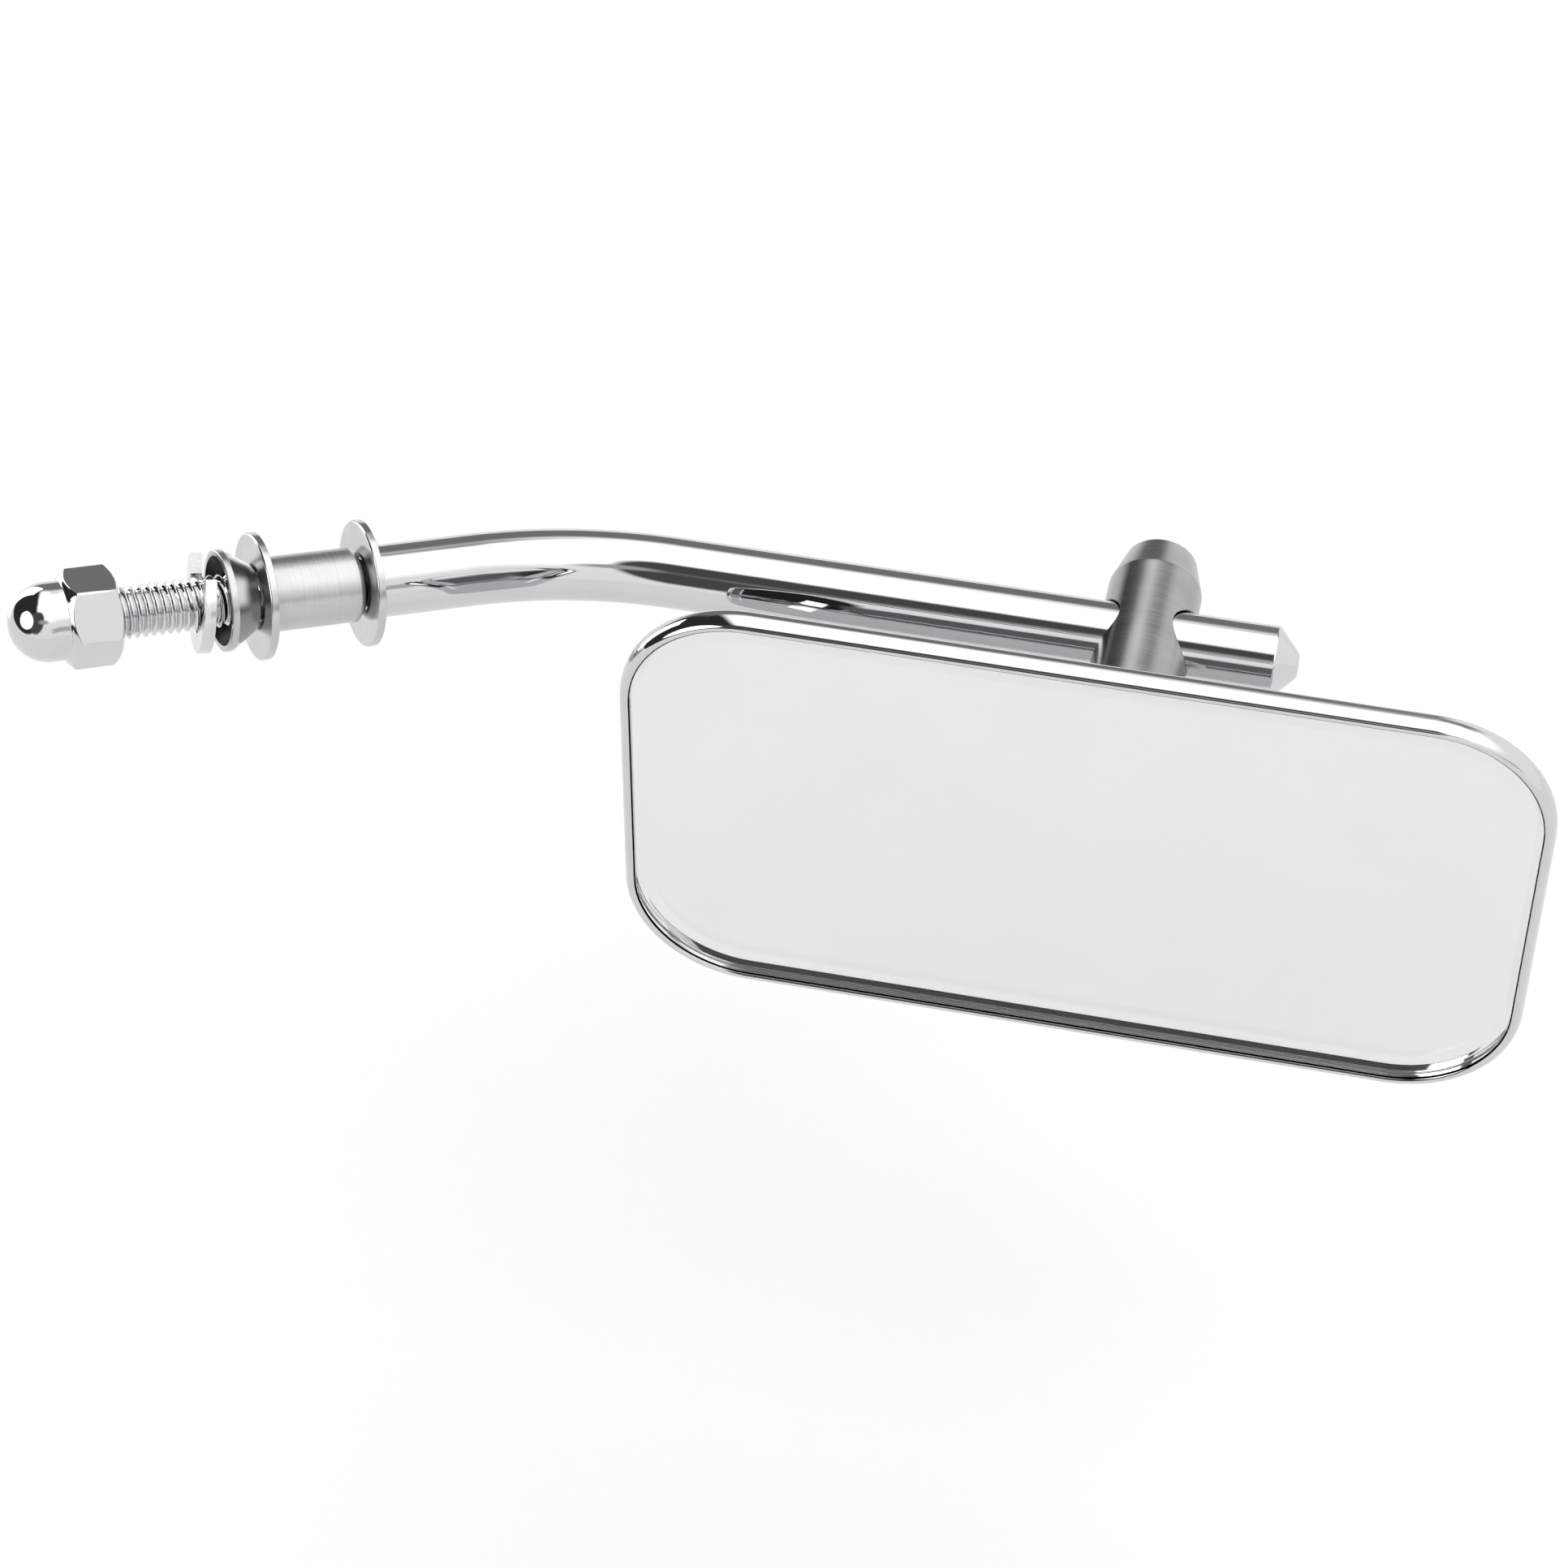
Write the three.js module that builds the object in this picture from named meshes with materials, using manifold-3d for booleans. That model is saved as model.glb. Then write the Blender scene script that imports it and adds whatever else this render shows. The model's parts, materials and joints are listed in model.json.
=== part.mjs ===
// Stem-mounted rearview mirror: a bent round stem with a threaded stud, a cross-drilled post
// clamped on the stem, and a rectangular head that swivels on the post.
//
// Units are millimetres. +X runs along the head's long side and the stem's straight outer length,
// +Y points away from the glass and +Z is up. The origin is on the stud's axis, in the face of the
// flat washer that the bracket is clamped against.
import * as THREE from 'three';
import { mergeVertices } from 'three/addons/utils/BufferGeometryUtils.js';
import Module from 'manifold-3d';

const wasm = await Module();
wasm.setup();

// ---------------------------------------------------------------- driving dimensions
const GAP = 0.3;                // clearance kept between pieces that touch

// stem
const STEM_R = 5.5;
const BEND_ANGLE = THREE.MathUtils.degToRad(35);
const BEND_ROLL = THREE.MathUtils.degToRad(18.3);   // turns the bend's plane about X
const BEND_R = 52;
const POST_TO_BEND = 88.3;      // post axis to the point where the stem's two centre lines meet
const BEND_TO_SEAT = 50.6;      // that point to the clamping seat, along the stud
const STEM_END = 19.9;          // post axis to the end of the stem's cylinder
const STEM_TIP = 3.4;           // length of its tip, a cone with a rounded nose
const STEM_NOSE_R = 1.7;
const STEM_SIDES = 20;
const STEM_STEPS = 36;

// stud and the pieces on it, measured from the seat along the stud (positive towards the nut)
const STUD_R = 3.95;
const THREAD_PITCH = 1.25;
const THREAD_DEPTH = 0.6;
const THREAD_SIDES = 16;
const THREAD_START = -2;         // plain shank under the sleeve, thread from here on
const SHANK_R = 3.6;
const STUD_END = 30;
const PLAIN_BORE_R = 4.35;
const WASHER_R = 9.55;
const WASHER_T = 1.2;
const WASHER_EDGE = 0.15;
const WASHER_TRACK_R = 6.9;     // edge of the track that the taper spacer stands on
const SLEEVE_R = 5.62;
const SLEEVE_L = 14.7;
const SLEEVE_CHAMFER = 0.8;
const TAPER_SMALL_R = 5.0;
const TAPER_LARGE_R = 7.6;
const TAPER_RIM = 1.0;
const TAPER_L = 5.0;
const TAPER_DISH_R = 6.7;
const TAPER_DISH_DEPTH = 3.2;   // hollow in its wide end
const LOCK_R = 7.45;
const LOCK_BORE_R = 4.4;
const LOCK_T = 1.9;
const LOCK_RISE = 1.4;          // how far the split has sprung open
const LOCK_SPLIT_AT = THREE.MathUtils.degToRad(-37);
const LOCK_SPLIT_GAP = THREE.MathUtils.degToRad(61);
const LOCK_FROM = 6.25;         // its lower end, from the seat
const LOCK_LEAN = THREE.MathUtils.degToRad(10.5);    // it hangs loose, tipped over on the stud
const LOCK_LEAN_AT = THREE.MathUtils.degToRad(-101); // side that is tipped towards the nut
const NUT_SEAT = 21.2;
const NUT_HEX_L = 6.6;
const NUT_ACROSS_FLATS = 13;
const NUT_PHASE = THREE.MathUtils.degToRad(24.8);
const NUT_FACE_R = 6.2;
const NUT_DOME_R = 5.9;
const NUT_NECK = 1.3;           // hexagon's shoulder to the dome
const NUT_TOTAL = 15.7;
const NUT_BORE_R = 4.2;
const NUT_BORE_L = 11.5;

// post, its screw and the swivel, measured from the stem's axis along the post (positive is back)
const POST_R = 7.15;
const POST_SIDES = 32;
const POST_TAPER_START = 10.9;
const POST_TOP = 17.6;
const POST_TOP_R = 5.0;
const CROSS_BORE_R = 5.75;
const SCREW_R = 2.95;
const SCREW_HOLE_R = 3.15;
const SCREW_FROM = 7.2;
const SCREW_L = 7.6;
const SCREW_HEX_AF = 3;
const SCREW_HEX_DEPTH = 3;
const PAD_R = 2.6;
const PAD_T = 1;
const SPIGOT_R = 2.95;
const SPIGOT_HOLE_R = 3.25;

// head
const HEAD_SHIFT = -3.1;        // post axis to the head's middle, along X
const GLASS_PLANE = 46.5;       // stem's axis to the front of the glass
const HEAD_W = 132.6;
const HEAD_H = 74.4;
const HEAD_CORNER_R = 18.5;
const INNER_CORNER_R = 10;      // corner radius that the pressed pan settles to
const RIM_HALF_W = 1.05;        // rolled rim, half its width
const RIM_WIDEST = 1.9;         // its widest point, behind the glass plane
const RIM_FRONT = 2.05;         // from there forward to its crest
const RIM_REAR = 1.8;           // and back to its rear edge
const SHEET_T = 0.8;
const GLASS_INSET = 1.7;
const GLASS_PLAY = 0.15;        // between the glass and the shell
const GLASS_T = 3;
const GLASS_BEVEL_W = 1.6;
const GLASS_BEVEL_D = 0.35;
const PAN_DEPTH = 16.5;
const PAN_ROOT_INSET = 2.6;
const PAN_EXTRA = 0.4;          // added to the sheet where the pan's side is steep
const PAN_FLAT_INSET = 26;
const BOND_INSET = 7.6;
const BOND_T = 0.7;
const BACKING_T = 0.8;
const BOND_GAP = 0.2;
const SWIVEL_WASHER_T = 0.8;
const SWIVEL_WASHER_R = 8.6;
const PLATE_W = 58;
const PLATE_H = 18;
const PLATE_T = 1.5;
const PLATE_CORNER_R = 4;
const WAVE_R = 6.4;
const WAVE_T = 0.4;
const WAVE_RISE = 0.35;
const INNER_WASHER_R = 6.2;
const INNER_WASHER_T = 1.2;
const LOCKNUT_AF = 10;
const LOCKNUT_T = 3.8;
const INSERT_R = 3.9;
const INSERT_T = 1.3;
const SPIGOT_END = 5.9;         // glass plane to the spigot's end

const ROUND_SIDES = 28;
const CORNER_STEPS = 7;

// ---------------------------------------------------------------- materials
function material(color, roughness, metalness) {
  return new THREE.MeshStandardMaterial({ color, roughness, metalness });
}

const chrome = material(0xe2e5e8, 0.06, 1);
const satinSteel = material(0xb9bcbf, 0.32, 1);
const zincSteel = material(0xc9ccce, 0.25, 1);
const darkSteel = material(0x6d7073, 0.4, 1);
const brass = material(0xc2a05a, 0.3, 1);
const nylon = material(0xe6e4dc, 0.5, 0);
const fibre = material(0x4a4038, 0.8, 0);
const foam = material(0x2a2a2a, 0.9, 0);
const silvered = material(0xe9ebea, 0.02, 1);

// ---------------------------------------------------------------- solids and booleans
function toSolid(geometry) {
  const bare = geometry.clone();
  bare.deleteAttribute('normal');
  bare.deleteAttribute('uv');
  const merged = mergeVertices(bare, 1e-4);
  return new wasm.Manifold(new wasm.Mesh({
    numProp: 3,
    vertProperties: new Float32Array(merged.attributes.position.array),
    triVerts: new Uint32Array(merged.index.array),
  }));
}

function toGeometry(solid) {
  const mesh = solid.getMesh();
  const geometry = new THREE.BufferGeometry();
  const positions = new Float32Array(mesh.vertProperties);
  geometry.setAttribute('position', new THREE.BufferAttribute(positions, 3));
  geometry.setIndex(new THREE.BufferAttribute(new Uint32Array(mesh.triVerts), 1));
  geometry.computeVertexNormals();
  return geometry;
}

function cut(body, ...tools) {
  let solid = toSolid(body);
  for (const tool of tools) solid = solid.subtract(toSolid(tool));
  return toGeometry(solid);
}

function join(...bodies) {
  let solid = toSolid(bodies[0]);
  for (const body of bodies.slice(1)) solid = solid.add(toSolid(body));
  return toGeometry(solid);
}

function common(a, b) {
  return toGeometry(toSolid(a).intersect(toSolid(b)));
}

// A solid of revolution about Z. Points are [radius, z], from the low end of the axis to the high end,
// or a closed ring when the first and last points are the same.
function turned(points, sides = ROUND_SIDES) {
  const geometry = new THREE.LatheGeometry(points.map(([r, z]) => new THREE.Vector2(r, z)), sides);
  return geometry.rotateX(Math.PI / 2);
}

function rod(radius, from, to, sides = ROUND_SIDES) {
  return turned([[0, from], [radius, from], [radius, to], [0, to]], sides);
}

function ring(outer, bore, from, to, sides = ROUND_SIDES) {
  return turned([[bore, from], [outer, from], [outer, to], [bore, to], [bore, from]], sides);
}

function hexagon(acrossFlats, from, to, phase = 0) {
  const shape = new THREE.Shape();
  const r = acrossFlats / Math.sqrt(3);
  for (let i = 0; i < 6; i += 1) {
    const a = phase + i * Math.PI / 3;
    if (i === 0) shape.moveTo(r * Math.cos(a), r * Math.sin(a));
    else shape.lineTo(r * Math.cos(a), r * Math.sin(a));
  }
  const geometry = new THREE.ExtrudeGeometry(shape, { depth: to - from, bevelEnabled: false });
  return geometry.translate(0, 0, from);
}

// Joins rings of points into one closed skin. Each ring is an array of Vector3 with the same length.
function skin(rings, closed) {
  const n = rings[0].length;
  const positions = rings.flat().flatMap((p) => [p.x, p.y, p.z]);
  const triangles = [];
  const last = closed ? rings.length : rings.length - 1;
  for (let j = 0; j < last; j += 1) {
    const a = j * n;
    const b = ((j + 1) % rings.length) * n;
    for (let i = 0; i < n; i += 1) {
      const k = (i + 1) % n;
      triangles.push(a + i, a + k, b + k, a + i, b + k, b + i);
    }
  }
  if (!closed) {
    const top = (rings.length - 1) * n;
    for (let i = 1; i < n - 1; i += 1) {
      triangles.push(0, i + 1, i);
      triangles.push(top, top + i, top + i + 1);
    }
  }
  const geometry = new THREE.BufferGeometry();
  geometry.setAttribute('position', new THREE.Float32BufferAttribute(positions, 3));
  geometry.setIndex(triangles);
  geometry.computeVertexNormals();
  return geometry;
}

// ---------------------------------------------------------------- placing
const bendPoint = new THREE.Vector3(-POST_TO_BEND, 0, 0);
const studAxis = new THREE.Vector3(-1, 0, 0)
  .applyAxisAngle(new THREE.Vector3(0, 0, 1), BEND_ANGLE)
  .applyAxisAngle(new THREE.Vector3(1, 0, 0), -BEND_ROLL);
const seatPoint = bendPoint.clone().addScaledVector(studAxis, BEND_TO_SEAT);

const mirror = new THREE.Group();

// Everything measured from the crossing of the stem's axis and the post's axis.
const crossing = new THREE.Group();
crossing.position.copy(seatPoint).negate();
mirror.add(crossing);

// Everything on the stud: local +Z runs along the stud towards the nut, and local +X is square to the
// plane that the stem is bent in.
const stud = new THREE.Group();
const studAcross = studAxis.clone().cross(new THREE.Vector3(1, 0, 0)).normalize();
const studUp = studAxis.clone().cross(studAcross);
const studTurn = new THREE.Matrix4().makeBasis(studAcross, studUp, studAxis);
stud.quaternion.setFromRotationMatrix(studTurn);
mirror.add(stud);

// Everything on the post: local +Z runs along the post, away from the glass.
const postLine = new THREE.Group();
postLine.rotation.x = -Math.PI / 2;
crossing.add(postLine);

// The head: local +Z is the distance behind the glass plane, local +Y is down.
const head = new THREE.Group();
head.position.set(HEAD_SHIFT, -GLASS_PLANE, 0);
head.rotation.x = -Math.PI / 2;
crossing.add(head);

function place(group, name, geometry, surface) {
  const mesh = new THREE.Mesh(geometry, surface);
  mesh.name = name;
  group.add(mesh);
}

// ---------------------------------------------------------------- stem
const SHOULDER = -(2 * WASHER_T + SLEEVE_L + 3 * GAP);   // along the stud, from the seat

function stemPath() {
  const tangent = BEND_R * Math.tan(BEND_ANGLE / 2);
  const start = bendPoint.clone().addScaledVector(studAxis, BEND_TO_SEAT + SHOULDER);
  const bendIn = bendPoint.clone().addScaledVector(studAxis, tangent);
  const bendOut = bendPoint.clone().setX(bendPoint.x + tangent);
  const end = new THREE.Vector3(STEM_END, 0, 0);
  const inward = new THREE.Vector3(1, 0, 0).add(studAxis).normalize();
  const centre = bendPoint.clone().addScaledVector(inward, BEND_R / Math.cos(BEND_ANGLE / 2));
  const spoke = bendIn.clone().sub(centre);
  const axis = spoke.clone().cross(bendOut.clone().sub(centre)).normalize();

  class Bend extends THREE.Curve {
    getPoint(t, target = new THREE.Vector3()) {
      return target.copy(spoke).applyAxisAngle(axis, t * BEND_ANGLE).add(centre);
    }
  }
  const path = new THREE.CurvePath();
  path.add(new THREE.LineCurve3(start, bendIn));
  path.add(new Bend());
  path.add(new THREE.LineCurve3(bendOut, end));
  return path;
}

function circleShape(radius, sides) {
  const shape = new THREE.Shape();
  for (let i = 0; i < sides; i += 1) {
    const a = 2 * Math.PI * i / sides;
    if (i === 0) shape.moveTo(radius, 0);
    else shape.lineTo(radius * Math.cos(a), radius * Math.sin(a));
  }
  return shape;
}

// The plain shank, then the thread's crests and roots as rings of the right pitch and depth.
function studProfile(from, to) {
  const root = STUD_R - THREAD_DEPTH;
  const points = [[0, from], [SHANK_R, from], [SHANK_R, THREAD_START], [root, THREAD_START]];
  for (let z = THREAD_START; z + THREAD_PITCH < to; z += THREAD_PITCH) {
    points.push([STUD_R, z + THREAD_PITCH / 2], [root, z + THREAD_PITCH]);
  }
  points.push([root, to], [0, to]);
  return points;
}

function stemBody() {
  const bar = new THREE.ExtrudeGeometry(circleShape(STEM_R, STEM_SIDES), {
    steps: STEM_STEPS, bevelEnabled: false, extrudePath: stemPath(),
  });
  const overlap = 2;
  const inside = STEM_R - 0.02;
  const tip = turned([
    [0, -overlap], [inside, -overlap], [inside, 0.05], [STEM_NOSE_R, STEM_TIP - 0.5],
    [STEM_NOSE_R / 2, STEM_TIP - 0.1], [0, STEM_TIP],
  ], STEM_SIDES);
  tip.rotateY(Math.PI / 2).translate(STEM_END, 0, 0);
  const thread = turned(studProfile(SHOULDER - overlap, STUD_END), THREAD_SIDES);
  thread.applyQuaternion(stud.quaternion).translate(seatPoint.x, seatPoint.y, seatPoint.z);
  return join(bar, tip, thread);
}

place(crossing, 'stem', stemBody(), chrome);

// ---------------------------------------------------------------- pieces on the stud
// A flat washer. Its face has an edge at WASHER_TRACK_R, outside what the taper spacer covers.
function flatWasher(face) {
  return turned([
    [PLAIN_BORE_R, face - WASHER_T], [WASHER_R, face - WASHER_T], [WASHER_R, face - WASHER_EDGE],
    [WASHER_R - WASHER_EDGE, face], [WASHER_TRACK_R, face], [PLAIN_BORE_R, face],
    [PLAIN_BORE_R, face - WASHER_T],
  ]);
}

function sleeve() {
  const high = -WASHER_T - GAP;
  const low = high - SLEEVE_L;
  return turned([
    [PLAIN_BORE_R, low], [SLEEVE_R - SLEEVE_CHAMFER, low], [SLEEVE_R, low + SLEEVE_CHAMFER],
    [SLEEVE_R, high], [PLAIN_BORE_R, high], [PLAIN_BORE_R, low],
  ]);
}

function taperSpacer() {
  const low = GAP;
  const high = GAP + TAPER_L;
  return turned([
    [PLAIN_BORE_R, low], [TAPER_SMALL_R, low], [TAPER_LARGE_R, high - TAPER_RIM], [TAPER_LARGE_R, high],
    [TAPER_DISH_R, high], [TAPER_SMALL_R, high - TAPER_DISH_DEPTH],
    [PLAIN_BORE_R, high - TAPER_DISH_DEPTH], [PLAIN_BORE_R, low],
  ]);
}

// A left-hand turn of square wire, sprung open by LOCK_RISE between its two cut ends.
function lockWasher() {
  const steps = 40;
  const sweep = 2 * Math.PI - LOCK_SPLIT_GAP;
  const rings = [];
  for (let j = 0; j <= steps; j += 1) {
    const t = j / steps;
    const a = LOCK_SPLIT_AT - t * sweep;
    const z = t * LOCK_RISE;
    const at = (r, h) => new THREE.Vector3(r * Math.cos(a), r * Math.sin(a), z + h);
    rings.push([at(LOCK_BORE_R, 0), at(LOCK_R, 0), at(LOCK_R, LOCK_T), at(LOCK_BORE_R, LOCK_T)]);
  }
  const leanLine = new THREE.Vector3(Math.sin(LOCK_LEAN_AT), -Math.cos(LOCK_LEAN_AT), 0);
  const lean = new THREE.Quaternion().setFromAxisAngle(leanLine, LOCK_LEAN);
  const middle = (LOCK_RISE + LOCK_T) / 2;
  const flat = skin(rings, false).translate(0, 0, -middle);
  return flat.applyQuaternion(lean).translate(0, 0, LOCK_FROM + middle);
}

function capNut() {
  const high = NUT_SEAT + NUT_HEX_L;
  const corner = NUT_ACROSS_FLATS / Math.sqrt(3);
  const chamfer = corner - NUT_FACE_R;
  const blank = hexagon(NUT_ACROSS_FLATS, NUT_SEAT, high + NUT_NECK, NUT_PHASE);
  const chamfers = turned([
    [0, NUT_SEAT], [NUT_FACE_R, NUT_SEAT], [corner + 0.05, NUT_SEAT + chamfer], [corner + 0.05, high],
    [NUT_DOME_R + 0.1, high + NUT_NECK - 0.05], [0, high + NUT_NECK - 0.05],
  ], 36);
  const domeCentre = NUT_SEAT + NUT_TOTAL - NUT_DOME_R;
  const profile = [[0, high - 1], [NUT_DOME_R, high - 1], [NUT_DOME_R, domeCentre]];
  const domeSteps = 6;
  for (let i = 1; i < domeSteps; i += 1) {
    const a = i / domeSteps * Math.PI / 2;
    profile.push([NUT_DOME_R * Math.cos(a), domeCentre + NUT_DOME_R * Math.sin(a)]);
  }
  profile.push([0, domeCentre + NUT_DOME_R]);
  const bore = turned([
    [0, NUT_SEAT - 1], [NUT_BORE_R + 0.5, NUT_SEAT - 1], [NUT_BORE_R + 0.5, NUT_SEAT],
    [NUT_BORE_R, NUT_SEAT + 0.5], [NUT_BORE_R, NUT_SEAT + NUT_BORE_L], [0, NUT_SEAT + NUT_BORE_L + 1.5],
  ]);
  return cut(join(common(blank, chamfers), turned(profile, ROUND_SIDES)), bore);
}

place(stud, 'flat_washer_1', flatWasher(0), zincSteel);
place(stud, 'spacer_sleeve', sleeve(), satinSteel);
place(stud, 'flat_washer_2', flatWasher(-WASHER_T - SLEEVE_L - 2 * GAP), zincSteel);
place(stud, 'taper_spacer', taperSpacer(), zincSteel);
place(stud, 'lock_washer', lockWasher(), zincSteel);
place(stud, 'cap_nut', capNut(), chrome);

// ---------------------------------------------------------------- post, clamp and swivel
const behindGlass = (distance) => distance - GLASS_PLANE;    // glass-plane depth to post height
const panBack = behindGlass(PAN_DEPTH);
const postShoulder = panBack + 2 * GAP + SWIVEL_WASHER_T;
const panInside = panBack - SHEET_T;
const plateLow = panInside - GAP - PLATE_T;
const waveLow = plateLow - GAP - WAVE_T - WAVE_RISE;
const innerWasherLow = waveLow - GAP - INNER_WASHER_T;
const locknutLow = innerWasherLow - GAP - LOCKNUT_T;

function postBody() {
  const blank = turned([
    [0, behindGlass(SPIGOT_END)], [SPIGOT_R, behindGlass(SPIGOT_END)], [SPIGOT_R, postShoulder],
    [POST_R - 0.3, postShoulder], [POST_R, postShoulder + 0.3], [POST_R, POST_TAPER_START],
    [POST_TOP_R + 0.6, POST_TOP - 0.7], [POST_TOP_R, POST_TOP], [0, POST_TOP],
  ], POST_SIDES);
  const crossBore = rod(CROSS_BORE_R, -2 * POST_R, 2 * POST_R, ROUND_SIDES).rotateY(Math.PI / 2);
  const screwHole = rod(SCREW_HOLE_R, 0, POST_TOP + 1);
  return cut(blank, crossBore, screwHole);
}

function setScrew() {
  const high = SCREW_FROM + SCREW_L;
  const body = turned([
    [0, SCREW_FROM], [SCREW_R - 0.6, SCREW_FROM], [SCREW_R, SCREW_FROM + 0.6], [SCREW_R, high - 0.3],
    [SCREW_R - 0.3, high], [0, high],
  ], 24);
  return cut(body, hexagon(SCREW_HEX_AF, high - SCREW_HEX_DEPTH, high + 1));
}

// A thin annulus that rises and falls three times round.
function waveWasher() {
  const steps = 36;
  const rings = [];
  for (let j = 0; j < steps; j += 1) {
    const a = 2 * Math.PI * j / steps;
    const z = waveLow + WAVE_RISE * (0.5 + 0.5 * Math.cos(3 * a));
    const at = (r, h) => new THREE.Vector3(r * Math.cos(a), r * Math.sin(a), z + h);
    rings.push([
      at(SPIGOT_HOLE_R, 0), at(SPIGOT_HOLE_R, WAVE_T), at(WAVE_R, WAVE_T), at(WAVE_R, 0),
    ]);
  }
  return skin(rings, true);
}

function locknut() {
  const high = locknutLow + LOCKNUT_T;
  const corner = LOCKNUT_AF / Math.sqrt(3);
  const chamfers = turned([
    [0, locknutLow], [corner - 0.9, locknutLow], [corner + 0.05, locknutLow + 0.7],
    [corner + 0.05, high - 0.5], [corner - 0.6, high], [0, high],
  ], 36);
  const blank = common(hexagon(LOCKNUT_AF, locknutLow, high), chamfers);
  const pocket = rod(INSERT_R + 0.1, locknutLow - 1, locknutLow + INSERT_T + 0.1);
  return cut(blank, rod(SPIGOT_R + 0.2, locknutLow - 2, high + 1), pocket);
}

place(postLine, 'post', postBody(), chrome);
place(postLine, 'clamp_pad', rod(PAD_R, STEM_R + GAP, STEM_R + GAP + PAD_T, 20), brass);
place(postLine, 'set_screw', setScrew(), darkSteel);
place(postLine, 'swivel_washer',
  ring(SWIVEL_WASHER_R, SPIGOT_HOLE_R, panBack + GAP, panBack + GAP + SWIVEL_WASHER_T), nylon);
place(postLine, 'wave_washer', waveWasher(), zincSteel);
place(postLine, 'inner_washer',
  ring(INNER_WASHER_R, SPIGOT_HOLE_R, innerWasherLow, innerWasherLow + INNER_WASHER_T), zincSteel);
place(postLine, 'locknut', locknut(), zincSteel);
place(postLine, 'locknut_insert',
  ring(INSERT_R, SPIGOT_R + 0.15, locknutLow, locknutLow + INSERT_T, 24), nylon);

// ---------------------------------------------------------------- head
// The head's outline, drawn inset from its widest edge. The corners settle to INNER_CORNER_R.
function cornerRadius(inset) {
  const spare = HEAD_CORNER_R - INNER_CORNER_R;
  return INNER_CORNER_R + spare * Math.exp(-inset / spare);
}

function outlineRing(inset, depth) {
  const r = cornerRadius(inset);
  const halfW = HEAD_W / 2 - inset - r;
  const halfH = HEAD_H / 2 - inset - r;
  const corners = [[halfW, halfH], [-halfW, halfH], [-halfW, -halfH], [halfW, -halfH]];
  return corners.flatMap(([x, y], quarter) => Array.from({ length: CORNER_STEPS + 1 }, (_, i) => {
    const a = (quarter + i / CORNER_STEPS) * Math.PI / 2;
    return new THREE.Vector3(x + r * Math.cos(a), y + r * Math.sin(a), depth);
  }));
}

// The pan's back surface: depth behind the glass plane at an inset from the widest edge.
function panSurface(t) {
  const ledgeBack = GLASS_T + GLASS_PLAY + SHEET_T;
  const inset = PAN_ROOT_INSET + (PAN_FLAT_INSET - PAN_ROOT_INSET) * t;
  return [inset, ledgeBack + (PAN_DEPTH - ledgeBack) * Math.sin(t * Math.PI / 2)];
}

// The rolled rim's outside: two half ellipses. The angle is a quarter turn at the crest, 0 where the rim
// is widest and minus a quarter turn at its rear edge.
function rimPoint(angle) {
  const reach = angle > 0 ? RIM_FRONT : RIM_REAR;
  return [RIM_HALF_W * (1 - Math.cos(angle)), RIM_WIDEST - reach * Math.sin(angle)];
}

function shellBody() {
  const wall = GLASS_INSET - GLASS_PLAY;           // inner face of the wall round the glass
  const ledge = GLASS_T + GLASS_PLAY;
  const start = Math.acos(1 - wall / RIM_HALF_W);
  const end = -Math.PI / 2;
  const rimSteps = 11;
  const panSteps = 7;
  const profile = [];
  // inside of the pan, from its middle out to the ledge
  for (let i = panSteps; i >= 0; i -= 1) {
    const t = i / panSteps;
    const [inset, depth] = panSurface(t);
    const [ahead, aheadDepth] = panSurface(t + 0.01);
    const slope = Math.atan2(aheadDepth - depth, ahead - inset);
    profile.push([inset + SHEET_T * Math.sin(slope) + PAN_EXTRA, depth - SHEET_T * Math.cos(slope)]);
  }
  profile.push([wall, ledge]);
  for (let i = 0; i <= rimSteps; i += 1) {
    profile.push(rimPoint(start + (end - start) * i / rimSteps));
  }
  for (let i = 0; i <= panSteps; i += 1) profile.push(panSurface(i / panSteps));
  const pan = skin(profile.map(([inset, depth]) => outlineRing(inset, depth)), false);
  const pivotHole = rod(SPIGOT_HOLE_R, PAN_DEPTH - 3, PAN_DEPTH + 3).translate(-HEAD_SHIFT, 0, 0);
  return cut(pan, pivotHole);
}

function slab(inset, from, to, bevelWidth = 0, bevelDepth = 0) {
  const rings = [outlineRing(inset, from + bevelDepth), outlineRing(inset, to)];
  if (bevelWidth > 0) rings.unshift(outlineRing(inset + bevelWidth, from));
  return skin(rings, false);
}

function reinforcementPlate() {
  const w = PLATE_W / 2;
  const h = PLATE_H / 2;
  const r = PLATE_CORNER_R;
  const shape = new THREE.Shape();
  shape.moveTo(-w + r, -h);
  shape.lineTo(w - r, -h);
  shape.absarc(w - r, -h + r, r, -Math.PI / 2, 0, false);
  shape.lineTo(w, h - r);
  shape.absarc(w - r, h - r, r, 0, Math.PI / 2, false);
  shape.lineTo(-w + r, h);
  shape.absarc(-w + r, h - r, r, Math.PI / 2, Math.PI, false);
  shape.lineTo(-w, -h + r);
  shape.absarc(-w + r, -h + r, r, Math.PI, 1.5 * Math.PI, false);
  const plate = new THREE.ExtrudeGeometry(shape, { depth: PLATE_T, bevelEnabled: false, curveSegments: 4 });
  plate.translate(-HEAD_SHIFT, 0, GLASS_PLANE + plateLow);
  return cut(plate, rod(SPIGOT_HOLE_R, 0, PAN_DEPTH).translate(-HEAD_SHIFT, 0, 0));
}

const bondFrom = GLASS_T + BOND_GAP;
const backingFrom = bondFrom + BOND_T + BOND_GAP;

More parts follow.
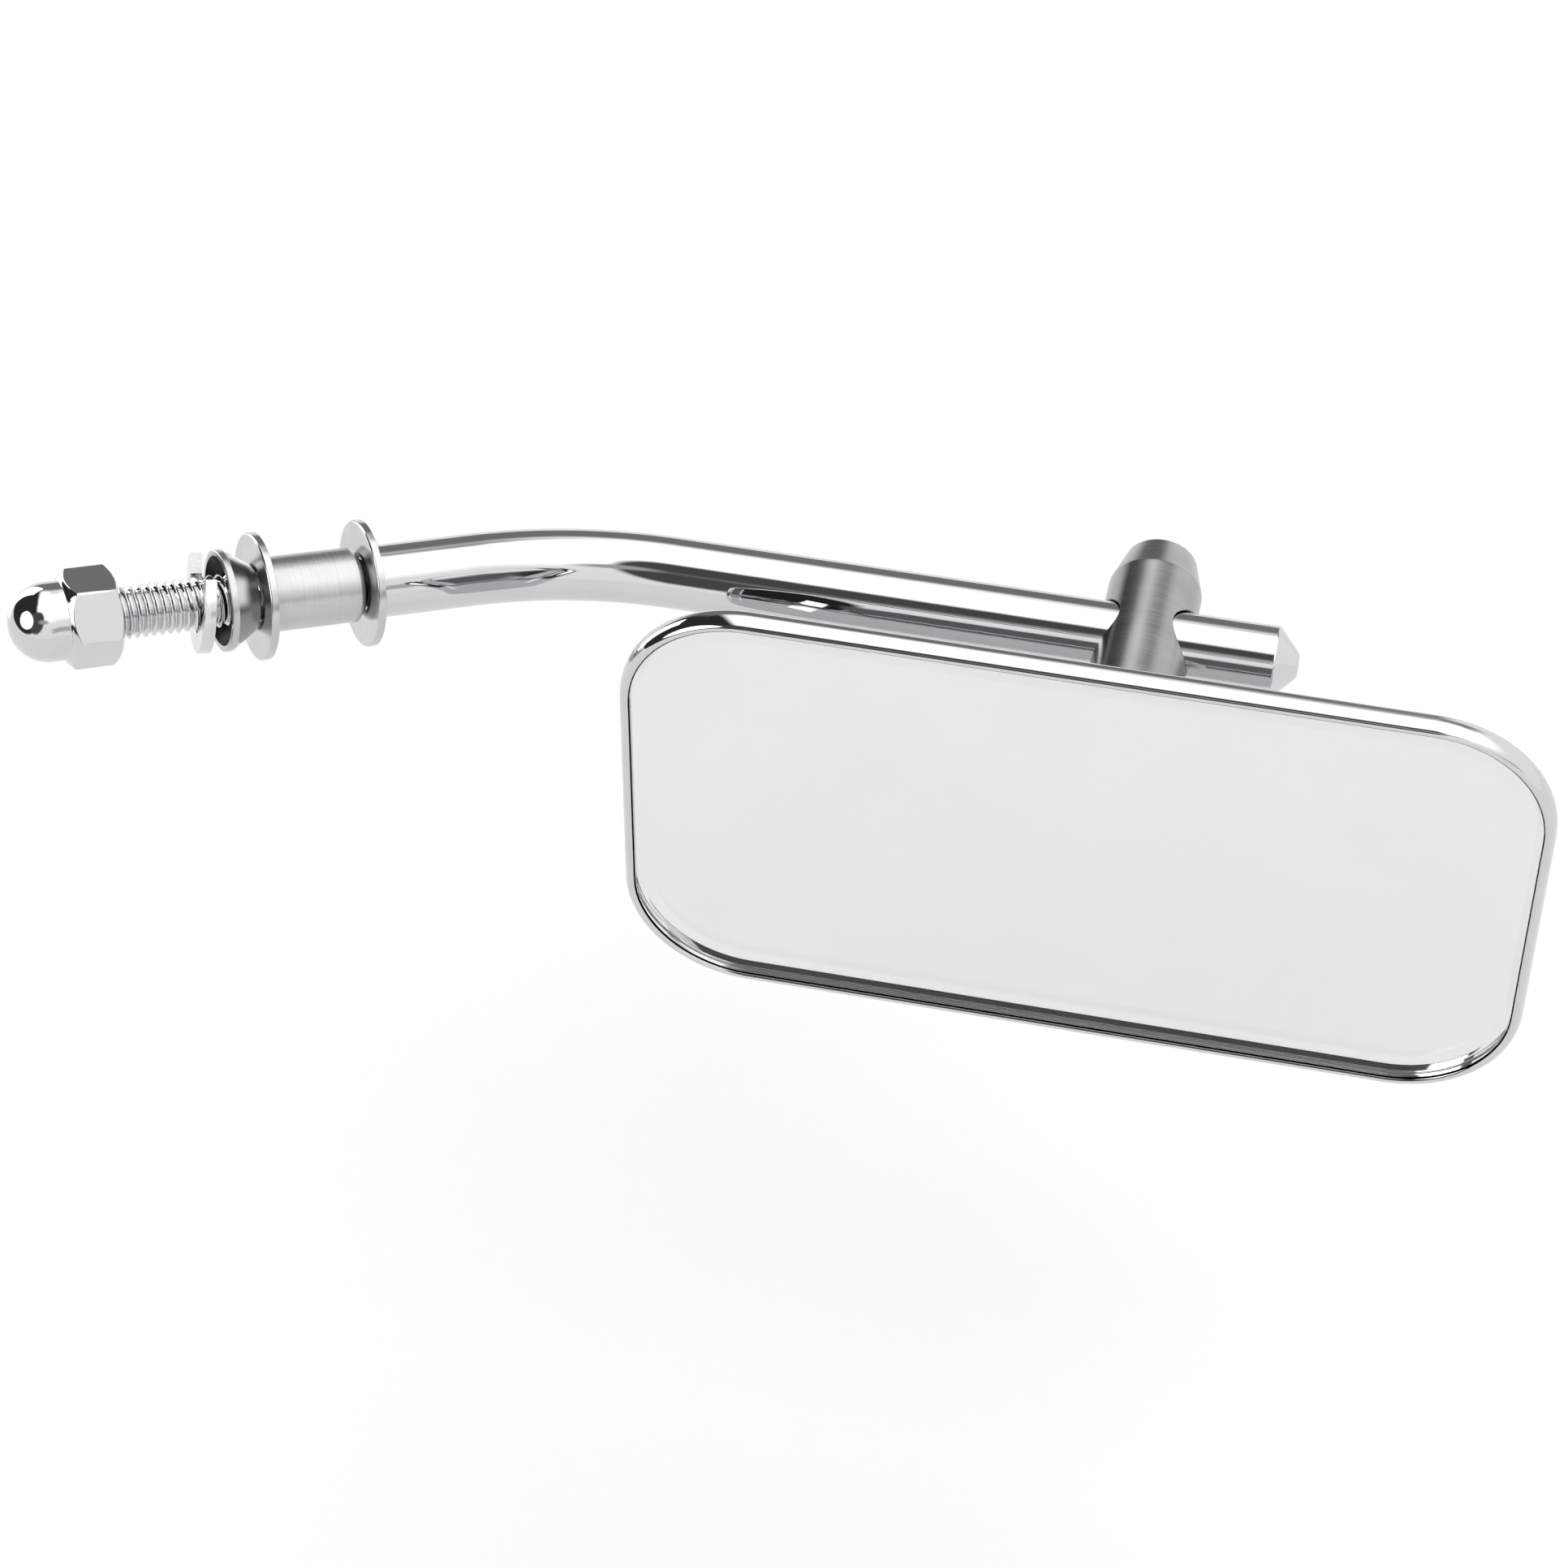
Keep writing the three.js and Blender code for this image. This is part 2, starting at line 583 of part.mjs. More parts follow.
place(head, 'shell', shellBody(), chrome);
place(head, 'mirror_glass', slab(GLASS_INSET, 0, GLASS_T, GLASS_BEVEL_W, GLASS_BEVEL_D), silvered);
place(head, 'adhesive_pad', slab(BOND_INSET, bondFrom, bondFrom + BOND_T), foam);
place(head, 'backing_plate', slab(BOND_INSET, backingFrom, backingFrom + BACKING_T), fibre);
place(head, 'reinforcement_plate', reinforcementPlate(), zincSteel);

export default mirror;
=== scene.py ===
"""Looks for the stem-mounted rearview mirror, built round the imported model.

Shapes are written in millimetres, in the frame of the axis that they turn or lie on. Their places and
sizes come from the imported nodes. Everything is in metres once a mesh is made.
"""

import json
import math

import bpy
from mathutils import Matrix, Vector


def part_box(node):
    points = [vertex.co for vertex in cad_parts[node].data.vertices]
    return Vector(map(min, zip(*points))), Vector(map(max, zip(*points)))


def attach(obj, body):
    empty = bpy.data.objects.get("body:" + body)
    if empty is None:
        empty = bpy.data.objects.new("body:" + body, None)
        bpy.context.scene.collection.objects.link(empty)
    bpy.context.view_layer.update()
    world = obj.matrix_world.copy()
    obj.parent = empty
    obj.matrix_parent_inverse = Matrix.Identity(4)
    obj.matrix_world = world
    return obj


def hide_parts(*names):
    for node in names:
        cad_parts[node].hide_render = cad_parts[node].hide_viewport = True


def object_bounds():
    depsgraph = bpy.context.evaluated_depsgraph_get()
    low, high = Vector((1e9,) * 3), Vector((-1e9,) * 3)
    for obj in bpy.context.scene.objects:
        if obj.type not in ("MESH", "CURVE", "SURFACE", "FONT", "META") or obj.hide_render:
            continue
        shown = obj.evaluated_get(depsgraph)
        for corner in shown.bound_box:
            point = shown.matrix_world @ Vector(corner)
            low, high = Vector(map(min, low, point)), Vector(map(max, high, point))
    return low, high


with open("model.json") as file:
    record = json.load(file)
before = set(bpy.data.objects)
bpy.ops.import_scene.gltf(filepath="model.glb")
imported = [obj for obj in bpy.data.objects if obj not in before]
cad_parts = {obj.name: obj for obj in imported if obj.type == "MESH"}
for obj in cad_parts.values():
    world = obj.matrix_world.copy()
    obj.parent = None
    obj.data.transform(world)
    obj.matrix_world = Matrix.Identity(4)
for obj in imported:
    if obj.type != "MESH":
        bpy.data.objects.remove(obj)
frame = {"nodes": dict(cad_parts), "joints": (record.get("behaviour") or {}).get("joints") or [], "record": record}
cad_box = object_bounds()

MM = 0.001

# ------------------------------------------------------------------ local frames
joints = {joint["name"]: joint for joint in frame["joints"]}
mounts = {mount["name"]: mount for mount in frame["record"]["mounts"]}
STEM_LINE = Vector((1, 0, 0))                                  # the stem's outer length
STUD_LINE = Vector(mounts["stud_seat"]["axis"]).normalized()   # towards the nut
SEAT = Vector(mounts["stud_seat"]["pos_m"])
CROSSING = Vector(joints["post_turn"]["pos_m"])                # stem's axis meets the post's axis
ACROSS = STUD_LINE.cross(STEM_LINE).normalized()               # square to the bend's plane


def frame_at(origin, x, z):
    """A place with its own x and z directions."""
    y = z.cross(x)
    return Matrix((
        (x.x, y.x, z.x, origin.x),
        (x.y, y.y, z.y, origin.y),
        (x.z, y.z, z.z, origin.z),
        (0, 0, 0, 1),
    ))


def middle_of_front(node):
    low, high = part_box(node)
    return Vector(((low.x + high.x) / 2, low.y, (low.z + high.z) / 2))


BACKWARDS = Vector((0, 1, 0))
ON_STUD = frame_at(SEAT, ACROSS, STUD_LINE)
ON_POST = frame_at(CROSSING, STEM_LINE, BACKWARDS)
ON_HEAD = frame_at(middle_of_front("mirror_glass"), STEM_LINE, BACKWARDS)


def measure(node, place):
    """A node's lowest and highest z and its largest radius about z, in mm in a local frame."""
    inverse = place.inverted()
    points = [inverse @ vertex.co / MM for vertex in frame["nodes"][node].data.vertices]
    heights = [p.z for p in points]
    return min(heights), max(heights), max(math.hypot(p.x, p.y) for p in points)


def half_size(node):
    """Half a node's width along X and its height along Z, in mm."""
    low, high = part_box(node)
    return (high.x - low.x) / 2 / MM, (high.z - low.z) / 2 / MM


# ------------------------------------------------------------------ mesh helpers
ROUND = 96          # points round a turned piece


def skin(rings, around=True, along=False):
    """Quads between rings of points. Ends are capped unless the rings close along their length."""
    count = len(rings[0])
    points = [p for ring in rings for p in ring]
    faces = []
    for j in range(len(rings) if along else len(rings) - 1):
        a = j * count
        b = (j + 1) % len(rings) * count
        for i in range(count if around else count - 1):
            k = (i + 1) % count
            faces.append((a + i, a + k, b + k, b + i))
    if not along:
        faces.append(tuple(reversed(range(count))))
        top = (len(rings) - 1) * count
        faces.append(tuple(range(top, top + count)))
    return points, faces


def circle(radius, z, count=ROUND):
    return [
        Vector((radius * math.cos(a), radius * math.sin(a), z))
        for a in (2 * math.pi * i / count for i in range(count))
    ]


def eased(corners, closed=False, steps=5):
    """Rounds a profile's corners. A corner is (radius from the axis, z, rounding)."""
    profile = []
    count = len(corners)
    for i, (r, z, rounding) in enumerate(corners):
        here = Vector((r, z))
        if not closed and i in (0, count - 1) or rounding == 0:
            profile.append((r, z))
            continue
        before = Vector(corners[i - 1][:2]) - here
        after = Vector(corners[(i + 1) % count][:2]) - here
        half = before.angle(after) / 2
        reach = min(rounding / math.tan(half), 0.49 * before.length, 0.49 * after.length)
        radius = reach * math.tan(half)
        centre = here + (before.normalized() + after.normalized()).normalized() * radius / math.sin(half)
        start = here + before.normalized() * reach - centre
        turn = start.angle_signed(here + after.normalized() * reach - centre)
        for step in range(steps + 1):
            a = -turn * step / steps
            x = start.x * math.cos(a) - start.y * math.sin(a)
            y = start.x * math.sin(a) + start.y * math.cos(a)
            profile.append((centre.x + x, centre.y + y))
    return profile


def turned(profile, closed=False, count=ROUND):
    """Turns a profile about z. An open profile is capped at both ends."""
    return skin([circle(r, z, count) for r, z in profile], along=closed)


def piece(name, shape, place, look, body, nodes, sharp=38):
    """Makes an object from (points, faces) in mm, parents it to its body's empty and hides the nodes it takes the
    place of.
    """
    points, faces = shape
    mesh = bpy.data.meshes.new(name)
    mesh.from_pydata([p * MM for p in points], [], faces)
    mesh.validate()
    mesh.materials.append(look)
    mesh.shade_smooth()
    mesh.set_sharp_from_angle(angle=math.radians(sharp))
    obj = bpy.data.objects.new(name, mesh)
    bpy.context.scene.collection.objects.link(obj)
    obj.matrix_world = place
    normals = obj.modifiers.new("normals", "WEIGHTED_NORMAL")
    normals.keep_sharp = True
    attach(obj, body)
    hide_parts(*nodes)
    return obj


def cut(obj, shape, place):
    """Cuts a closed (points, faces) out of an object for good."""
    points, faces = shape
    mesh = bpy.data.meshes.new("cutter")
    mesh.from_pydata([p * MM for p in points], [], faces)
    cutter = bpy.data.objects.new("cutter", mesh)
    bpy.context.scene.collection.objects.link(cutter)
    cutter.matrix_world = place
    difference = obj.modifiers.new("cut", "BOOLEAN")
    difference.operation = "DIFFERENCE"
    difference.solver = "EXACT"
    difference.object = cutter
    obj.modifiers.move(len(obj.modifiers) - 1, 0)
    bpy.context.view_layer.update()
    weighted = obj.modifiers.get("normals")
    weighted.show_viewport = False
    result = bpy.data.meshes.new_from_object(obj.evaluated_get(bpy.context.evaluated_depsgraph_get()))
    weighted.show_viewport = True
    obj.modifiers.remove(difference)
    old = obj.data
    obj.data = result
    bpy.data.meshes.remove(old)
    bpy.data.objects.remove(cutter)
    bpy.data.meshes.remove(mesh)


# ------------------------------------------------------------------ materials
def look(name, metallic, roughness):
    material = bpy.data.materials.new(name)
    material.use_nodes = True
    tree = material.node_tree
    shader = tree.nodes["Principled BSDF"]
    shader.inputs["Metallic"].default_value = metallic
    shader.inputs["Roughness"].default_value = roughness
    return material, tree, shader


def node(tree, kind, links=(), **settings):
    """Adds a shader node. links pairs an input with an output socket or a value."""
    made = tree.nodes.new(kind)
    for key, value in settings.items():
        setattr(made, key, value)
    for key, value in links:
        if isinstance(value, bpy.types.NodeSocket):
            tree.links.new(value, made.inputs[key])
        else:
            made.inputs[key].default_value = value
    return made


def ramp(tree, factor, stops):
    """A colour ramp. Each stop is (position, colour)."""
    made = node(tree, "ShaderNodeValToRGB", [("Fac", factor)])
    elements = made.color_ramp.elements
    while len(elements) < len(stops):
        elements.new(0.5)
    for element, (position, colour) in zip(elements, stops):
        element.position = position
        element.color = (*colour, 1)
    return made.outputs["Color"]


def spread(tree, value, low, high):
    """Maps 0..1 to low..high."""
    made = node(tree, "ShaderNodeMapRange", [("Value", value), ("To Min", low), ("To Max", high)])
    return made.outputs["Result"]


def grey(level, cool=0.0):
    return (level - cool, level, level + cool)


def chrome(name, level=0.6, haze=0.035, waviness=0.03):
    """Polished plate: a little uneven in tone, haze and flatness."""
    material, tree, shader = look(name, 1.0, haze)
    place = node(tree, "ShaderNodeTexCoord").outputs["Object"]
    cloud = node(tree, "ShaderNodeTexNoise", [("Vector", place), ("Scale", 90.0), ("Detail", 3.0)])
    uneven = 0.012
    stops = [(0.3, grey(level - uneven, 0.004)), (0.7, grey(level + uneven, 0.006))]
    tone = ramp(tree, cloud.outputs["Fac"], stops)
    tree.links.new(tone, shader.inputs["Base Color"])
    film = node(tree, "ShaderNodeTexNoise", [("Vector", place), ("Scale", 260.0), ("Detail", 5.0)])
    tree.links.new(spread(tree, film.outputs["Fac"], haze * 0.5, haze * 1.5), shader.inputs["Roughness"])
    wave = node(tree, "ShaderNodeTexNoise", [("Vector", place), ("Scale", 140.0), ("Detail", 1.0)])
    bump = node(tree, "ShaderNodeBump", [
        ("Height", wave.outputs["Fac"]), ("Strength", waviness), ("Distance", MM),
    ])
    tree.links.new(bump.outputs["Normal"], shader.inputs["Normal"])
    return material


def lathe_turned(name, level, roughness, lines=9000.0, depth=0.12, stretch=0.5):
    """Turned metal: rings round the piece's own z axis, with tone and gloss that vary from ring to ring."""
    material, tree, shader = look(name, 1.0, roughness)
    shader.inputs["Anisotropic"].default_value = stretch
    place = node(tree, "ShaderNodeTexCoord").outputs["Object"]
    parts = node(tree, "ShaderNodeSeparateXYZ", [("Vector", place)])
    flat = node(tree, "ShaderNodeVectorMath", [(0, place), (1, (1, 1, 0))], operation="MULTIPLY")
    radius = node(tree, "ShaderNodeVectorMath", [(0, flat.outputs["Vector"])], operation="LENGTH")
    rings = node(tree, "ShaderNodeCombineXYZ", [("X", radius.outputs["Value"]), ("Z", parts.outputs["Z"])])
    marks = node(tree, "ShaderNodeTexNoise", [
        ("Vector", rings.outputs["Vector"]), ("Scale", lines), ("Detail", 4.0),
    ])
    cloud = node(tree, "ShaderNodeTexNoise", [("Vector", place), ("Scale", 200.0), ("Detail", 3.0)])
    pair = [(0, marks.outputs["Fac"]), (1, cloud.outputs["Fac"])]
    both = node(tree, "ShaderNodeMath", pair, operation="MULTIPLY")
    tone = ramp(tree, both.outputs["Value"], [(0.1, grey(level * 0.86)), (0.45, grey(level * 1.1, 0.003))])
    tree.links.new(tone, shader.inputs["Base Color"])
    gloss = spread(tree, marks.outputs["Fac"], roughness * 0.7, roughness * 1.35)
    tree.links.new(gloss, shader.inputs["Roughness"])
    bump = node(tree, "ShaderNodeBump", [
        ("Height", marks.outputs["Fac"]), ("Strength", depth), ("Distance", 0.02 * MM),
    ])
    tree.links.new(bump.outputs["Normal"], shader.inputs["Normal"])
    tangent = node(tree, "ShaderNodeTangent", direction_type="RADIAL", axis="Z")
    tree.links.new(tangent.outputs["Tangent"], shader.inputs["Tangent"])
    return material


def matte(name, dark, light, roughness, grain, height):
    """Nylon, fibre or foam: mottled, with a grain that also stands up a little."""
    material, tree, shader = look(name, 0.0, roughness)
    place = node(tree, "ShaderNodeTexCoord").outputs["Object"]
    mottle = node(tree, "ShaderNodeTexNoise", [("Vector", place), ("Scale", grain), ("Detail", 6.0)])
    tone = ramp(tree, mottle.outputs["Fac"], [(0.35, dark), (0.65, light)])
    tree.links.new(tone, shader.inputs["Base Color"])
    gloss = spread(tree, mottle.outputs["Fac"], roughness * 0.85, roughness)
    tree.links.new(gloss, shader.inputs["Roughness"])
    bump = node(tree, "ShaderNodeBump", [
        ("Height", mottle.outputs["Fac"]), ("Strength", 0.4), ("Distance", height),
    ])
    tree.links.new(bump.outputs["Normal"], shader.inputs["Normal"])
    return material


def clear_glass():
    material, tree, shader = look("clear_glass", 0.0, 0.01)
    shader.inputs["Transmission Weight"].default_value = 1.0
    shader.inputs["IOR"].default_value = 1.52
    place = node(tree, "ShaderNodeTexCoord").outputs["Object"]
    cloud = node(tree, "ShaderNodeTexNoise", [("Vector", place), ("Scale", 30.0), ("Detail", 2.0)])
    tint = ramp(tree, cloud.outputs["Fac"], [(0.3, (0.975, 0.99, 0.983)), (0.7, (0.98, 0.993, 0.986))])
    tree.links.new(tint, shader.inputs["Base Color"])
    film = node(tree, "ShaderNodeTexNoise", [("Vector", place), ("Scale", 120.0), ("Detail", 4.0)])
    tree.links.new(spread(tree, film.outputs["Fac"], 0.0, 0.02), shader.inputs["Roughness"])
    return material


def silvering():
    material, tree, shader = look("silvering", 1.0, 0.01)
    place = node(tree, "ShaderNodeTexCoord").outputs["Object"]
    cloud = node(tree, "ShaderNodeTexNoise", [("Vector", place), ("Scale", 45.0), ("Detail", 3.0)])
    tone = ramp(tree, cloud.outputs["Fac"], [(0.3, (0.79, 0.79, 0.79)), (0.7, (0.805, 0.803, 0.804))])
    tree.links.new(tone, shader.inputs["Base Color"])
    tree.links.new(spread(tree, cloud.outputs["Fac"], 0.0, 0.015), shader.inputs["Roughness"])
    return material


CHROME_STEM = chrome("stem_chrome", waviness=0.02)
CHROME_NUT = chrome("nut_chrome", haze=0.06, waviness=0.05)
CHROME_SHELL = chrome("shell_chrome", waviness=0.02)
CHROME_POST = lathe_turned("post_chrome", 0.38, 0.24, lines=5000.0, depth=0.1, stretch=0.3)
STEEL_WASHER = lathe_turned("washer_steel", 0.55, 0.16, lines=4000.0, stretch=0.2)
STEEL_SLEEVE = lathe_turned("sleeve_steel", 0.52, 0.24, stretch=0.6)
STEEL_TAPER = lathe_turned("taper_steel", 0.5, 0.2, stretch=0.6)
STEEL_LOCK = lathe_turned("lock_washer_steel", 0.66, 0.16, lines=3000.0, stretch=0.2)
STEEL_INNER = lathe_turned("inner_steel", 0.5, 0.25)
# Near-black steel: the set screw's black oxide, and painted shade in the taper spacer's recess.
BLACK_OXIDE_AND_PAINTED_SHADE = lathe_turned("black_oxide_and_painted_shade", 0.06, 0.35, lines=3000.0)
BRASS = lathe_turned("pad_brass", 0.4, 0.25)
NYLON = matte("natural_nylon", (0.66, 0.65, 0.58), (0.76, 0.75, 0.69), 0.55, 900.0, 0.03 * MM)
FIBRE = matte("backing_fibre", (0.05, 0.035, 0.025), (0.1, 0.075, 0.055), 0.9, 1400.0, 0.08 * MM)
FOAM = matte("bond_foam", (0.006, 0.006, 0.006), (0.02, 0.02, 0.02), 0.95, 2500.0, 0.1 * MM)
CLEAR_GLASS = clear_glass()
SILVERING = silvering()

# ------------------------------------------------------------------ stem and its thread
STEM_R = 5.5
BEND_R = 52.0
TIP = 3.4                 # length of the tip, a cone with a rounded nose
NOSE_R = 1.7
THREAD_PITCH = 1.25
THREAD_FROM = -2.0        # along the stud, under the spacer sleeve
CREST_R = 3.95
ROOT_R = 3.32
SHANK_R = 3.6


def bend_corner():
    """Where the stud's line and the stem's outer line cross."""
    along = (CROSSING.y - SEAT.y) / STUD_LINE.y
    return SEAT + STUD_LINE * along


def stem_rings():
    """Rings of the plain bar, from its tip to the shoulder."""
    corner = bend_corner()
    end_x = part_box("stem")[1].x
    first = -STEM_LINE
    angle = first.angle(STUD_LINE)
    tangent = BEND_R * MM * math.tan(angle / 2)
    centre = corner - first * tangent + (STUD_LINE - first * first.dot(STUD_LINE)).normalized() * BEND_R * MM
    rings = []

    def ring(middle, heading, radius):
        up = heading.cross(ACROSS)
        places = (2 * math.pi * i / ROUND for i in range(ROUND))
        rings.append([middle / MM + (ACROSS * math.cos(a) + up * math.sin(a)) * radius for a in places])

    tip_start = Vector((end_x - TIP * MM, CROSSING.y, CROSSING.z))
    for r, z in eased([(0.3, TIP, 0), (NOSE_R, TIP, 1.6), (STEM_R, 0, 0.5), (STEM_R, -3, 0)], steps=8)[:-1]:
        ring(tip_start + STEM_LINE * z * MM, first, r)
    for share in (0.1, 0.5, 0.9):
        ring(tip_start.lerp(corner - first * tangent, share), first, STEM_R)
    bends = 48
    for i in range(bends + 1):
        turn = Matrix.Rotation(angle * i / bends, 3, first.cross(STUD_LINE).normalized())
        spoke = turn @ (corner - first * tangent - centre)
        ring(centre + spoke, turn @ first, STEM_R)
    shoulder = SEAT + STUD_LINE * (measure("flat_washer_2", ON_STUD)[0] - 0.3) * MM
    edge = 0.35
    ring(shoulder - STUD_LINE * (edge + 2) * MM, STUD_LINE, STEM_R)
    for r, z in eased([(STEM_R, -edge - 1, 0), (STEM_R, 0, edge), (SHANK_R, 0, 0)]):
        ring(shoulder + STUD_LINE * z * MM, STUD_LINE, r)
    return rings


def stud_shape(rings):
    """Adds the shank and a right-hand thread to the bar's rings, and closes the far end."""

    def on_stud(r, a, z):
        local = Vector((r * math.cos(a), r * math.sin(a), z))
        return ON_STUD.to_translation() / MM + ON_STUD.to_3x3() @ local

    def round_ring(r, z):
        return [on_stud(r, 2 * math.pi * i / ROUND, z) for i in range(ROUND)]

    profile = [
        (0.0, ROOT_R), (0.06, ROOT_R), (0.4, CREST_R - 0.05), (0.45, CREST_R),
        (0.55, CREST_R), (0.6, CREST_R - 0.05), (0.94, ROOT_R),
    ]
    stud_end = measure("stem", ON_STUD)[1]
    turns = int((stud_end - THREAD_FROM) / THREAD_PITCH) - 1
    rings = rings + [round_ring(SHANK_R, THREAD_FROM - 0.1), round_ring(ROOT_R, THREAD_FROM - 0.1)]
    points = [p for ring in rings for p in ring]
    _, faces = skin(rings)
    faces.pop()
    low_ring = (len(rings) - 1) * ROUND
    rows = turns * len(profile) + 1
    start = len(points)
    for row in range(rows):
        turn, step = divmod(row, len(profile))
        share, radius = profile[step]
        for i in range(ROUND):
            a = 2 * math.pi * i / ROUND
            z = THREAD_FROM + THREAD_PITCH * (turn + share + i / ROUND)
            points.append(on_stud(radius, a, z))

    def at(row, i):
        """A thread point. One turn on, the helix has climbed by a whole profile."""
        return start + (row + i // ROUND * len(profile)) * ROUND + i % ROUND

    for row in range(rows - 1):
        for i in range(ROUND):
            if i == ROUND - 1 and row + 1 + len(profile) >= rows:
                continue
            faces.append((at(row, i), at(row, i + 1), at(row + 1, i + 1), at(row + 1, i)))
    # the thread's start: from the shank's ring up to the first row, closed by one stepped face
    for i in range(ROUND - 1):
        faces.append((low_ring + i, low_ring + i + 1, at(0, i + 1), at(0, i)))
    step_face = [low_ring + ROUND - 1, low_ring] + [at(row, 0) for row in range(len(profile) + 1)]
    faces.append(tuple(step_face + [at(0, ROUND - 1)]))
    # the far end: a flat cap ring, closed the same way
    cap_z = THREAD_FROM + THREAD_PITCH * (turns + 1) + 0.1
    cap = len(points)
    points += round_ring(ROOT_R, cap_z)
    last = rows - 1
    for i in range(ROUND - 1):
        faces.append((at(last, i), at(last, i + 1), cap + i + 1, cap + i))
    climb = [at(row, ROUND - 1) for row in range(last - len(profile), last + 1)]
    faces.append(tuple([at(last, 0)] + climb[1:] + [cap + ROUND - 1, cap]))
    faces.append(tuple(range(cap, cap + ROUND)))
    return points, faces


piece(
    "stem", stud_shape(stem_rings()), Matrix.Identity(4), CHROME_STEM, "stem", ["stem"],
    sharp=50,
)

# ------------------------------------------------------------------ washers, sleeve and spacer
BORE_R = 4.35


def flat_washer(name):
    """A punched washer: one face's edge is rolled over, the other's is crisp."""
    low, high, radius = measure(name, ON_STUD)
    rolled, crisp = 0.32, 0.1
    profile = eased([
        (BORE_R, low, crisp), (radius, low, crisp), (radius, high, rolled), (BORE_R, high, rolled),
    ], closed=True)
    return piece(name, turned(profile, closed=True), ON_STUD, STEEL_WASHER, "seat", [name])


def sleeve():
    low, high, radius = measure("spacer_sleeve", ON_STUD)
    chamfer = 0.9
    profile = eased([
        (BORE_R, low, 0.1), (radius - chamfer, low, 0.2), (radius, low + chamfer, 0.35), (radius, high, 0.12),
        (BORE_R, high, 0.1),
    ], closed=True)
    return piece(
        "spacer_sleeve", turned(profile, closed=True), ON_STUD, STEEL_SLEEVE, "seat",
        ["spacer_sleeve"],
    )


def taper():
    low, high, radius = measure("taper_spacer", ON_STUD)
    small, rim_l, dish_r, dish = 5.0, 1.0, 6.75, 3.2
    profile = eased([
        (BORE_R, low, 0.1), (small, low, 0.12), (radius, high - rim_l, 0.12), (radius, high, 0.15),
        (dish_r, high, 0.1), (small, high - dish, 0.1), (BORE_R, high - dish, 0.1),
    ], closed=True)
    made = piece(
        "taper_spacer", turned(profile, closed=True), ON_STUD, STEEL_TAPER, "taper",
        ["taper_spacer"],
    )
    # Painted shade: the dish's inner faces get the near-black steel, standing in for the shade that falls in the
    # recess.
    made.data.materials.append(BLACK_OXIDE_AND_PAINTED_SHADE)
    for face in made.data.polygons:
        outwards = math.hypot(face.center.x, face.center.y) / MM
        faces_in = face.normal.x * face.center.x + face.normal.y * face.center.y < 0 or face.normal.z > 0.5
        if faces_in and outwards < dish_r - 0.1 and face.center.z / MM > high - dish - 0.3:
            face.material_index = 1
    return made


def lock_washer():
    """Left-hand turn of rounded square wire between two cut ends, hanging loose and tipped on the stud."""
    thick, bore, radius, rise, low = 1.9, 4.4, 7.45, 1.4, 6.25
    split_at, gap = math.radians(-37), math.radians(61)
    lean, lean_at = math.radians(10.5), math.radians(-101)
    edge = 0.22
    section = eased([
        (bore, 0, edge), (radius, 0, edge), (radius, thick, edge), (bore, thick, edge),
    ], closed=True)
    steps = 120
    middle = (rise + thick) / 2
    rings = []
    for j in range(steps + 1):
        share = j / steps
        a = split_at - share * (2 * math.pi - gap)
        z = share * rise - middle
        rings.append([Vector((r * math.cos(a), r * math.sin(a), z + h)) for r, h in section])
    lean_line = Vector((math.sin(lean_at), -math.cos(lean_at), 0))
    hung = Matrix.Translation((0, 0, (low + middle) * MM)) @ Matrix.Rotation(lean, 4, lean_line)
    return piece(
        "lock_washer", skin(rings), ON_STUD @ hung, STEEL_LOCK, "spring_washer", ["lock_washer"],
    )


flat_washer("flat_washer_1")
flat_washer("flat_washer_2")
sleeve()
taper()
lock_washer()

# ------------------------------------------------------------------ cap nut
ACROSS_FLATS = 13.0
NUT_CORNER_AT = math.radians(24.8)
NUT_CORNER_ROUND = 0.45


def hexagon(across_flats, corner_at, rounding, flat_steps=10, corner_steps=6):
    """Points (angle, radius) round a hexagon with rounded corners."""
    apothem = across_flats / 2
    sixth = math.pi / 3
    straight = (apothem - rounding) * math.tan(sixth / 2)
    outline = []
    for k in range(6):
        face = corner_at + (k + 0.5) * sixth
        out = Vector((math.cos(face), math.sin(face)))
        side = Vector((-out.y, out.x))
        for i in range(flat_steps):
            outline.append(out * apothem + side * straight * (2 * i / flat_steps - 1))
        pivot = out * (apothem - rounding) + side * straight
        for i in range(corner_steps):
            a = face + sixth * i / corner_steps
            outline.append(pivot + Vector((math.cos(a), math.sin(a))) * rounding)
    return [(math.atan2(p.y, p.x), p.length) for p in outline]


